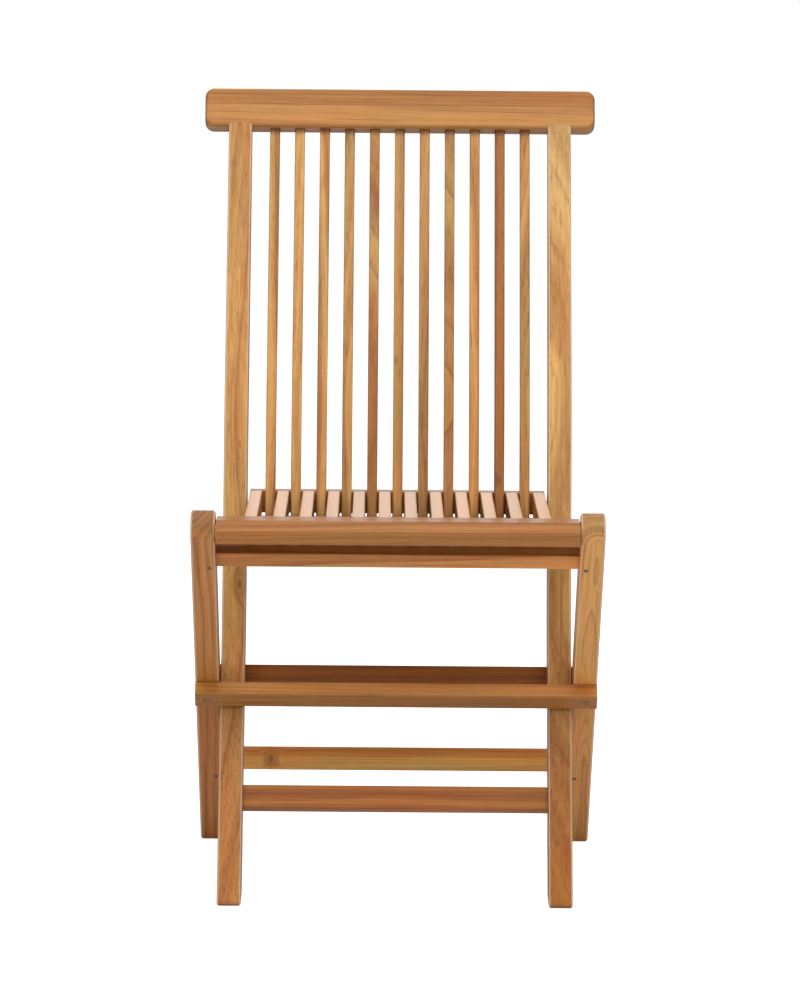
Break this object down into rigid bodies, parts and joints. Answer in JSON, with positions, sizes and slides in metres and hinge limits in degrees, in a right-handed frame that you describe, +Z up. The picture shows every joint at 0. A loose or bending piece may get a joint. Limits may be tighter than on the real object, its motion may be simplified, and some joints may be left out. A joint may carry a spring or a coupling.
{
  "type": "folding side chair",
  "caption": "Folding wooden side chair with a tall slatted back, crossing side frames and a slatted seat whose slats pass between those of the back.",
  "frame": {"origin": "centre of the bounding box's bottom face, on the floor", "axes": "+X to the right as seen from the front, +Y from front to back, +Z up"},
  "size_m": [0.47, 0.5204, 0.9],
  "materials": {
    "teak": "oiled, satin",
    "teak_seat": "sanded, unoiled",
    "brass": "dull"
  },
  "bodies": {
    "back_frame": {"stile_left": "teak", "stile_right": "teak", "top_rail": "teak", "lower_back_rail": "teak", "front_stretcher": "teak", "rear_stop_bar": "teak", "rear_stop_screws": "brass", "rear_stop_plugs": "teak", "back_slat_01": "teak", "back_slat_02": "teak", "back_slat_03": "teak", "back_slat_04": "teak", "back_slat_05": "teak", "back_slat_06": "teak", "back_slat_07": "teak", "back_slat_08": "teak", "back_slat_09": "teak", "back_slat_10": "teak", "back_slat_11": "teak"},
    "leg_frame": {"leg_left": "teak", "leg_right": "teak", "apron_rail": "teak", "rear_stretcher": "teak", "front_stop_bar": "teak", "front_stop_screws": "brass", "front_stop_plugs": "teak", "apron_pegs": "teak", "stretcher_pegs": "teak", "pivot_bolts": "brass", "pivot_nuts": "brass", "pivot_washers": "brass", "seat_pins": "brass", "seat_washers": "brass"},
    "seat": {"seat_front_rail": "teak", "seat_rear_rail": "teak", "seat_slat_01": "teak_seat", "seat_slat_02": "teak_seat", "seat_slat_03": "teak_seat", "seat_slat_04": "teak_seat", "seat_slat_05": "teak_seat", "seat_slat_06": "teak_seat", "seat_slat_07": "teak_seat", "seat_slat_08": "teak_seat", "seat_slat_09": "teak_seat", "seat_slat_10": "teak_seat", "seat_slat_11": "teak_seat", "seat_slat_12": "teak_seat"}
  },
  "joints": [
    {"name": "leg_fold", "type": "hinge", "parent": "back_frame", "child": "leg_frame", "pos_m": [0, -0.04315, 0.222], "axis": [-1, 0, 0], "range_deg": [0, 53]},
    {"name": "seat_fold", "type": "hinge", "parent": "leg_frame", "child": "seat", "pos_m": [0, -0.24156, 0.44853], "axis": [1, 0, 0], "range_deg": [0, 106]}
  ],
  "couplings": [
    {"joint": "seat_fold", "follows": "leg_fold", "ratio": 2}
  ]
}
